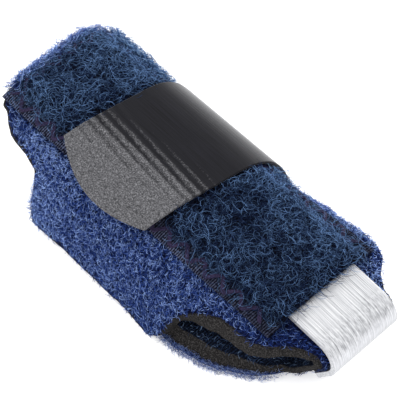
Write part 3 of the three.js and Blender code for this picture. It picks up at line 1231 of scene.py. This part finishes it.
def zigzag(legs, corner, surface, spread=0.0):
    """Points of one strand of a zigzag on a surface: arched between corners, shifted sideways by spread."""
    points = []
    for number in range(legs):
        start, end = corner(number), corner(number + 1)
        for share in steps(0, 1, 6)[:-1]:
            l = start[0] + (end[0] - start[0]) * share + spread
            s = start[1] + (end[1] - start[1]) * share
            points.append(surface(l, s, STITCH_UP + STITCH_ARCH * math.sin(math.pi * share)))
    return points


def on_tape(l, s, above):
    return place(l, s, tape_top(l, s) + above)


def on_tab(across, s, above):
    return tab_place(across, s, TAB_THICK - TAB_STITCH_SINK + 0.5 * above)[0]


def side_corner(side):
    """Corners of the seam along one long edge of the tape."""
    def corner(number):
        across = SEAM_OUTER if number % 2 else SEAM_INNER
        return SEAM_START + number * SEAM_PERIOD / 2, side * across

    return corner


def back_corner(number):
    along = BACK_SEAM_TO if number % 2 else BACK_SEAM_FROM
    return along, BACK_SEAM_START + number * BACK_SEAM_PERIOD / 2


def root_corner(number):
    up = ROOT_SEAM_LOW if number % 2 else ROOT_SEAM_HIGH
    return -TAB_HALF + ROOT_SEAM_IN + ROOT_SEAM_STEP * number, TAB_ROOT - up


def make_seam(name, lines, radius, thread_look):
    """Thread along lines of points in the work frame."""
    points, edges = [], []
    for line in lines:
        edges += [(len(points) + k, len(points) + k + 1) for k in range(len(line) - 1)]
        points += line
    mesh = bpy.data.meshes.new(name)
    mesh.from_pydata([to_frame(point) for point in points], edges, [])
    seam = bpy.data.objects.new(name, mesh)
    bpy.context.scene.collection.objects.link(seam)
    return run_tree(seam, thread_tree, Radius=radius * MM, Finish=thread_look)


def make_tape_seams(thread_look):
    """Zigzag of three strands along both long edges of the tape and across its back end."""
    legs = int((TAPE_END - 2) / SEAM_PERIOD * 2)
    lines = []
    for side in (-1, 1):
        lines += [zigzag(legs, side_corner(side), on_tape, spread) for spread in SEAM_STRANDS]
    lines += [zigzag(BACK_SEAM_LEGS, back_corner, on_tape, spread) for spread in BACK_SEAM_STRANDS]
    return make_seam("tape_seams", lines, TAPE_THREAD, thread_look)


def make_tab_seam(thread_look):
    """One strand over the tab's root."""
    return make_seam("tab_seam", [zigzag(ROOT_SEAM_LEGS, root_corner, on_tab)], TAB_THREAD, thread_look)


# Materials


class Finish(NodeTree):
    """A material under construction around a Principled shader."""

    def __init__(self, name, **sockets):
        self.material = bpy.data.materials.new(name)
        self.material.use_nodes = True
        super().__init__(self.material.node_tree)
        self.shader = self.tree.nodes["Principled BSDF"]
        self.wear(**sockets)

    def wear(self, **sockets):
        """Sets or feeds the shader's own sockets."""
        for name, value in sockets.items():
            self.feed(self.shader.inputs[name.replace("_", " ")], value)

    def group(self, tree, **sockets):
        return self.node("ShaderNodeGroup", node_tree=tree, **sockets).outputs

    def grain(self, scale, contrast):
        return self.group(grain_group, Scale=scale, Contrast=contrast)

    def ramp(self, value, stops):
        """Colour at a value, between stops of position and colour."""
        made = self.node("ShaderNodeValToRGB", Fac=value)
        elements = made.color_ramp.elements
        while len(elements) < len(stops):
            elements.new(0.5)
        for element, (position, colour) in zip(elements, stops):
            element.position = position
            element.color = colour
        return made.outputs[0]

    def streaks(self, along, across, detail, roughness):
        """Noise on the blank's UV map, drawn out along or across it."""
        drawn = self.node("ShaderNodeMapping", Vector=self.blank_map(), Scale=(along, across, 1.0))
        noise = self.node("ShaderNodeTexNoise", Vector=drawn.outputs[0], Scale=1.0, Detail=detail)
        self.feed(noise.inputs["Roughness"], roughness)
        return noise.outputs[0]

    def bump(self, height, strength, distance):
        made = self.node("ShaderNodeBump", Strength=strength, Distance=distance * MM, Height=height)
        self.wear(Normal=made.outputs[0])


def fibre_finish(name, root, deep, middle, pale, lift, clump):
    """Pile of one dye: its tones, how far up the painted shade at its root reaches, and how much it clumps.
    """
    finish = Finish(name, Roughness=0.8, Specular_IOR_Level=0.08)
    tones = {"Root": srgb(*root), "Deep": srgb(*deep), "Middle": srgb(*middle), "Pale": srgb(*pale)}
    finish.wear(Base_Color=finish.group(fibre_group, **tones, Lift=lift, Clump=clump)["Colour"])
    return finish.material


def ground_finish(name, dark, light, rib, bead, bare_from=0.0):
    """The woven ground under a pile: mottled, uneven ribs, painted dark where pile covers them, as its
    shade.

    Where bare_from is given, the ground inside it is painted dark as the pile's shade, and the ribs show
    only further out across the blank, and less towards the toe.
    """
    finish = Finish(name, Roughness=0.95, Specular_IOR_Level=0.05)
    grain = finish.grain(2200.0, 2.4)
    weave = finish.group(weave_group, Rib=rib, Bead=bead)
    worn = finish.math("MULTIPLY", grain["Mask"], weave["Height"])
    colour = finish.ramp(worn, [(0.1, srgb(*dark)), (0.6, srgb(*light))])
    if bare_from:
        along, across = finish.blank_places()
        outward = finish.math("SUBTRACT", finish.math("ABSOLUTE", across), bare_from / 10)
        bare = finish.math("MULTIPLY", outward, 8.0, clamp=True)
        toe = finish.span(along, FAR_TIP_FROM / 10, TAPE_END / 10 - 1.0, 1.0, 0.45)
        # Painted shade: dark under the pile, with the ribs only where the ground lies bare
        colour = finish.mix(finish.math("MULTIPLY", bare, toe), srgb(*dark), colour)
    finish.wear(Base_Color=colour)
    finish.bump(finish.math("MULTIPLY_ADD", grain["Height"], 0.6, weave["Height"]), 0.8, 0.2)
    return finish.material


def foam_finish():
    finish = Finish("cut_foam", Roughness=0.95, Specular_IOR_Level=0.05)
    grain = finish.grain(4200.0, 3.0)
    tones = [(0.1, srgb(18, 17, 18)), (0.6, srgb(39, 38, 38)), (1.0, srgb(68, 66, 66))]
    finish.wear(Base_Color=finish.ramp(grain["Mask"], tones))
    finish.bump(grain["Height"], 0.8, 0.2)
    return finish.material


def strip_finish():
    """Aluminium brushed along its length: long streaks in colour, gloss and height, a rubbed bend painted
    grey as reflection.
    """
    finish = Finish("brushed_aluminium", Metallic=0.85)
    fine = finish.streaks(0.9, 62.0, 4.0, 0.65)
    broad = finish.streaks(0.25, 16.0, 2.0, 0.65)
    rubbed = finish.streaks(9.0, 24.0, 3.0, 0.65)
    along, _ = finish.blank_places()

    def past_bend(start, end):
        """Runs from 0 to 1 between two places counted from the start of the nose."""
        return finish.span(along, (NOSE_START + start) / 10, (NOSE_START + end) / 10)

    drawn = finish.math("MULTIPLY_ADD", fine, 0.85, finish.math("MULTIPLY", broad, 0.15))
    faint = finish.math("MULTIPLY_ADD", past_bend(-2.0, 2.5), -0.55, 1.0)
    drawn = finish.math("MULTIPLY_ADD", finish.math("SUBTRACT", drawn, 0.5), faint, 0.5)
    # The bend's band: mottled rub marks, and painted greyer there as its reflection
    band = finish.math("SUBTRACT", past_bend(-2.0, 0.5), past_bend(2.0, 4.0))
    marks_and_reflection = finish.math("MULTIPLY", finish.math("SUBTRACT", rubbed, 0.6), band)
    height = finish.math("MULTIPLY_ADD", marks_and_reflection, 0.5, drawn)
    # Painted reflection: darker from just past the start of the bend onwards
    height = finish.math("MULTIPLY_ADD", past_bend(1.0, 4.5), -0.09, height)
    tones = [(0.3, srgb(126, 127, 131)), (0.42, srgb(188, 189, 193))]
    tones += [(0.52, srgb(222, 223, 226)), (0.66, srgb(250, 250, 252))]
    finish.wear(Base_Color=finish.ramp(height, tones), Roughness=finish.span(height, 0.3, 0.7, 0.46, 0.3))
    finish.bump(height, 0.25, 0.1)
    return finish.material


def edge_finish():
    """The strip's sheared edge: matt and finely grained, and painted pale as the white reflection along it.
    """
    finish = Finish("sheared_aluminium", Metallic=0.25)
    grain = finish.grain(3000.0, 1.6)
    # Painted reflection: pale tones and little metal, so the edge shows white as a reflection would
    tones = [(0.1, srgb(150, 152, 157)), (0.9, srgb(206, 207, 210))]
    gloss = finish.math("MULTIPLY_ADD", grain["Mask"], -0.15, 0.6)
    finish.wear(Base_Color=finish.ramp(grain["Mask"], tones), Roughness=gloss)
    finish.bump(grain["Height"], 0.2, 0.05)
    return finish.material


def tab_finish():
    """Hook tape's back: smooth charcoal, ragged ridges, then grainy and painted grey as lit towards its
    free end.
    """
    finish = Finish("hook_tape_back", Specular_IOR_Level=0.1)
    finish.wear(Sheen_Weight=0.24, Sheen_Roughness=0.4, Sheen_Tint=srgb(228, 228, 233))
    across, along = finish.blank_places()
    grain = finish.grain(4300.0, 2.2)

    waver = finish.math("SUBTRACT", finish.grain(900.0, 1.0)["Height"], 0.5)
    wavered = finish.math("MULTIPLY_ADD", waver, 0.07, along)
    ridge = finish.math("MULTIPLY_ADD", across, -RIDGE_SLANT, wavered)
    per_mm = 2 * math.pi / RIDGE_PITCH
    wave = finish.math("COSINE", finish.math("MULTIPLY_ADD", ridge, 10 * per_mm, -RIDGE_AT * per_mm))
    past = finish.math("MULTIPLY_ADD", across, 10 * GREY_SLANT, GREY_AT)
    past = finish.math("MULTIPLY_ADD", along, -10.0, past)
    ragged = finish.math("MULTIPLY_ADD", finish.math("SUBTRACT", grain["Height"], 0.5), 6.0, past)
    raised = finish.math("MULTIPLY_ADD", wave, 2.1, finish.math("ADD", ragged, 1.75))
    # Share of the grainy free end: its roughness and relief are its own, its grey is painted light
    grain_and_painted_light = finish.math("DIVIDE", raised, GREY_FADE, clamp=True)

    streaks = finish.streaks(1.0, 48.0, 3.0, 0.6)
    smooth_tone = finish.ramp(streaks, [(0.3, srgb(12, 12, 15)), (0.7, srgb(26, 26, 32))])
    creases = finish.math("SUBTRACT", finish.grain(1500.0, 1.0)["Height"], 0.5)
    worms = finish.math("MINIMUM", finish.math("MULTIPLY", finish.math("ABSOLUTE", creases), 26.0), 1.0)
    shade = finish.math("MULTIPLY_ADD", worms, 0.4, 0.6)
    specks = [(0.05, srgb(34, 34, 36)), (0.45, srgb(79, 79, 82)), (0.95, srgb(131, 131, 135))]
    # Painted light: the grey of the grainy end, darkened along its creases by the shade mix
    grainy_painted_light_tone = finish.mix(shade, srgb(30, 30, 33), finish.ramp(grain["Mask"], specks))
    finish.wear(Base_Color=finish.mix(grain_and_painted_light, smooth_tone, grainy_painted_light_tone))
    finish.wear(Roughness=finish.span(grain_and_painted_light, 0.0, 1.0, 0.34, 0.7))

    relief = finish.math("MULTIPLY", finish.math("MULTIPLY_ADD", worms, 0.3, grain["Height"]), grain_and_painted_light)
    lines = finish.math("MULTIPLY", finish.math("SUBTRACT", 1.0, grain_and_painted_light), streaks)
    finish.bump(finish.math("MULTIPLY_ADD", lines, 0.4, relief), 0.5, 0.15)
    return finish.material


def thread_finish():
    finish = Finish("seam_thread", Roughness=0.75, Specular_IOR_Level=0.15)
    tones = [(0.1, srgb(20, 16, 34)), (0.9, srgb(56, 48, 80))]
    finish.wear(Base_Color=finish.ramp(finish.grain(5000.0, 2.4)["Mask"], tones))
    return finish.material


# Floor, light and camera


def make_floor():
    mesh = bpy.data.meshes.new("floor")
    half = FLOOR_HALF
    corners = [(-half, -half, 0), (half, -half, 0), (half, half, 0), (-half, half, 0)]
    mesh.from_pydata(corners, [], [(0, 1, 2, 3)])
    floor = bpy.data.objects.new("floor", mesh)
    bpy.context.scene.collection.objects.link(floor)
    finish = Finish("white_sweep", Roughness=0.9, Emission_Color=(1, 1, 1, 1), Emission_Strength=0.3)
    tones = [(0.0, (0.9, 0.9, 0.9, 1)), (1.0, (0.93, 0.93, 0.93, 1))]
    finish.wear(Base_Color=finish.ramp(finish.grain(30.0, 0.4)["Mask"], tones))
    mesh.materials.append(finish.material)


def make_world():
    world = bpy.data.worlds.new("studio")
    world.use_nodes = True
    background = world.node_tree.nodes["Background"]
    background.inputs["Color"].default_value = (1, 1, 1, 1)
    background.inputs["Strength"].default_value = 1.0
    bpy.context.scene.world = world


def make_lights():
    for name, (spot, size, power) in LIGHTS.items():
        data = bpy.data.lights.new(name, "AREA")
        data.shape = "DISK"
        data.size = size
        data.energy = power
        lamp = bpy.data.objects.new(name, data)
        lamp.location = spot
        lamp.rotation_euler = (Vector(LIGHT_AIM) - Vector(spot)).to_track_quat("-Z", "Y").to_euler()
        bpy.context.scene.collection.objects.link(lamp)


def make_camera():
    azimuth, elevation = math.radians(VIEW_AZIMUTH), math.radians(VIEW_ELEVATION)
    level = math.cos(elevation)
    back = Vector((math.sin(azimuth) * level, -math.cos(azimuth) * level, math.sin(elevation)))
    right = Vector((math.cos(azimuth), math.sin(azimuth), 0))
    up = back.cross(right)
    data = bpy.data.cameras.new("camera")
    data.sensor_width = 36.0
    data.lens = VIEW_LENS
    data.clip_start = 0.01
    camera = bpy.data.objects.new("camera", data)
    turn = Matrix((right, up, back)).transposed().to_4x4()
    camera.matrix_world = Matrix.Translation(to_frame(Vector(VIEW_TARGET) + back * VIEW_DISTANCE)) @ turn
    bpy.context.scene.collection.objects.link(camera)
    bpy.context.scene.camera = camera


# The finishes, with tones as they look on screen

cloth_ground = ground_finish("blue_ground", (6, 10, 30), (22, 34, 78), 0.9, 0.9)
tape_ground = ground_finish("navy_ground", (8, 8, 18), (88, 95, 122), 0.45, 0.6, 9.0)
lining_ground = ground_finish("lining_ground", (8, 11, 20), (30, 42, 66), 0.5, 0.5)
# Pile finishes: name, painted shade at the root, deep, middle and pale tone, how far up the root's shade
# reaches, and clump
cloth_pile, tape_pile, lining_pile, cut_pile, rim_pile = [
    fibre_finish(*row)
    for row in (
        ("blue_pile", (4, 7, 26), (15, 29, 80), (52, 80, 156), (160, 190, 250), 0.6, 0.25),
        ("navy_pile", (2, 3, 9), (4, 9, 26), (21, 38, 73), (106, 141, 190), 0.6, 0.4),
        ("lining_pile", (12, 17, 32), (28, 42, 72), (56, 78, 114), (118, 142, 174), 0.4, 0.3),
        # The next two are paler copies of the blue and the navy pile, painted as lit, for the sole's rim
        # and the tape's far rim
        ("cut_pile", (30, 44, 98), (48, 68, 128), (92, 114, 172), (164, 182, 224), 0.4, 0.3),
        ("rim_pile", (20, 32, 64), (42, 66, 110), (82, 118, 166), (158, 190, 224), 0.4, 0.3),
    )
]
foam_look = foam_finish()
thread_look = thread_finish()

# The pieces that stand for the solids

face_cloth = make_face_cloth(cloth_ground, foam_look)
foam_lining = make_foam_lining(foam_look, lining_ground)
spine_tape = make_spine_tape(tape_ground)
stay_strip = make_stay_strip(strip_finish(), edge_finish())
hook_tab = make_hook_tab(tab_finish())

# Pile: the sort of fibre, and then each patch with its fibres to the square metre

blue_curls = make_curls("blue_curls", BLUE_CURLS)
navy_curls = make_curls("navy_curls", NAVY_CURLS)
rim_curls = make_curls("rim_curls", RIM_CURLS)
blue = dict(Fibres=blue_curls, Smallest=0.75, Largest=1.2, Tilt=0.3, Lay=DOWN, Finish=cloth_pile)
navy = dict(Fibres=navy_curls, Smallest=0.7, Largest=1.1, Tilt=0.25, Lay=ALONG, Finish=tape_pile)
# The far rim's and the sole rim's fibres take the paler copies, painted as lit
rim = dict(Fibres=rim_curls, Smallest=0.9, Largest=1.5, Tilt=0.4, Lay=DOWN, Finish=rim_pile)
fringe = dict(Fibres=rim_curls, Smallest=0.4, Largest=0.8, Tilt=0.4, Lay=DOWN, Finish=cut_pile)
inner = dict(Fibres=blue_curls, Smallest=0.7, Largest=1.1, Tilt=0.4, Lay=ALONG, Finish=lining_pile)
tape_edges = fixed_edges(TAPE_HALF, TAPE_HALF)
tape_stations = steps(-2.0, TAPE_END, 130)
sole_rim_stations = stations_between(*SOLE_RIM_REACH)

near_back_pile = make_pile(
    "near_back_pile", steps(BLANK_START, WING_SPLIT, 60), 60, near_edges, cloth_lift, cloth_cover,
    cloth_loose, cloth_painted_light, Density=19e6, Seed=21, **blue,
)
near_toe_pile = make_pile(
    "near_toe_pile", steps(WING_SPLIT, WING_END, 110), 60, near_edges, cloth_lift, cloth_cover,
    cloth_loose, cloth_painted_light, Density=19e6, Seed=22, **blue,
)
far_pile = make_pile(
    "far_pile", steps(BLANK_START, WING_END, 150), 60, far_edges, cloth_lift, cloth_cover,
    cloth_loose, cloth_painted_light, Density=10e6, Seed=23, **blue,
)
sole_pile = make_pile(
    "sole_pile", stations_between(WING_END, BLANK_END), 60, cloth_edges, cloth_lift, sole_cover,
    Density=7e6, Seed=24, **{**blue, "Smallest": 0.5, "Largest": 0.8},
)
back_tape_pile = make_pile(
    "back_tape_pile", tape_stations, 70, tape_edges, tape_top, back_tape_cover, bias=tape_painted_light,
    Density=12.5e6, Seed=25, **navy,
)
toe_tape_pile = make_pile(
    "toe_tape_pile", tape_stations, 40, fixed_edges(TAPE_HALF, 0.0), tape_top, toe_tape_cover,
    bias=tape_painted_light, Density=14e6, Seed=26, **navy,
)
far_tape_pile = make_pile(
    "far_tape_pile", tape_stations, 40, fixed_edges(0.0, TAPE_HALF), tape_top, toe_tape_cover,
    bias=tape_painted_light, Density=14e6, Seed=28, **navy,
)
far_rim_pile = make_pile(
    "far_rim_pile", steps(0.5, TAPE_END, 100), 6, fixed_edges(-FAR_RIM_IN, FAR_RIM_OUT), far_rim_lift,
    far_rim_cover, Density=20e6, Seed=29, **rim,
)
sole_rim_pile = make_pile(
    "sole_rim_pile", sole_rim_stations, 4, sole_band(SOLE_RIM_IN, SOLE_RIM_OUT), sole_rim_lift,
    sole_rim_cover, inward=True, Density=40e6, Seed=31, **fringe,
)
sole_ledge_pile = make_pile(
    "sole_ledge_pile", sole_rim_stations, 4, sole_band(SOLE_LEDGE_IN, SOLE_LEDGE_OUT),
    always(CLOTH_UNDER), sole_rim_cover, inward=True, Density=34e6, Seed=32, **fringe,
)
# Painted light: the back rim's fibres are paler, as if lit, where they turn down over the tape's back end
back_rim_pile = make_pile(
    "back_rim_pile", BACK_RIM_ROWS, 70, tape_edges, back_rim_lift, back_rim_cover, bias=always(0.25),
    start=tape_start, Density=24e6, Seed=30, **{**rim, "Finish": cloth_pile},
)
mouth_pile = make_pile(
    "mouth_pile", stations_between(*MOUTH_REACH), 48, lining_edges, lining_lift, lining_cover,
    inward=True, Density=2.6e6, Seed=27, **inner,
)
tape_seams = make_tape_seams(thread_look)
tab_seam = make_tab_seam(thread_look)

make_floor()
make_world()
make_lights()
make_camera()
bpy.context.scene.view_settings.view_transform = "Standard"

# What every piece rides on, and the parts that the solid pieces stand for, which are hidden

for thing, node, slot in (
    (face_cloth, "face_cloth", "loop_cloth"),
    (foam_lining, "foam_lining", "foam"),
    (spine_tape, "spine_tape", "loop_tape"),
    (stay_strip, "stay_strip", "strip_metal"),
    (hook_tab, "hook_tab", "hook_tape"),
):
    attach(thing, "root")
    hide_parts(node)
cloth_piles = [near_back_pile, near_toe_pile, far_pile, sole_pile, sole_rim_pile, sole_ledge_pile]
tape_piles = [back_tape_pile, toe_tape_pile, far_tape_pile, far_rim_pile, back_rim_pile, tape_seams]
for things, slot in (
    (cloth_piles, "loop_cloth"),
    (tape_piles, "loop_tape"),
    ([mouth_pile], "foam"),
    ([tab_seam], "hook_tape"),
):
    for thing in things:
        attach(thing, "root")

blank_width, blank_length, blank_area = blank_cut()
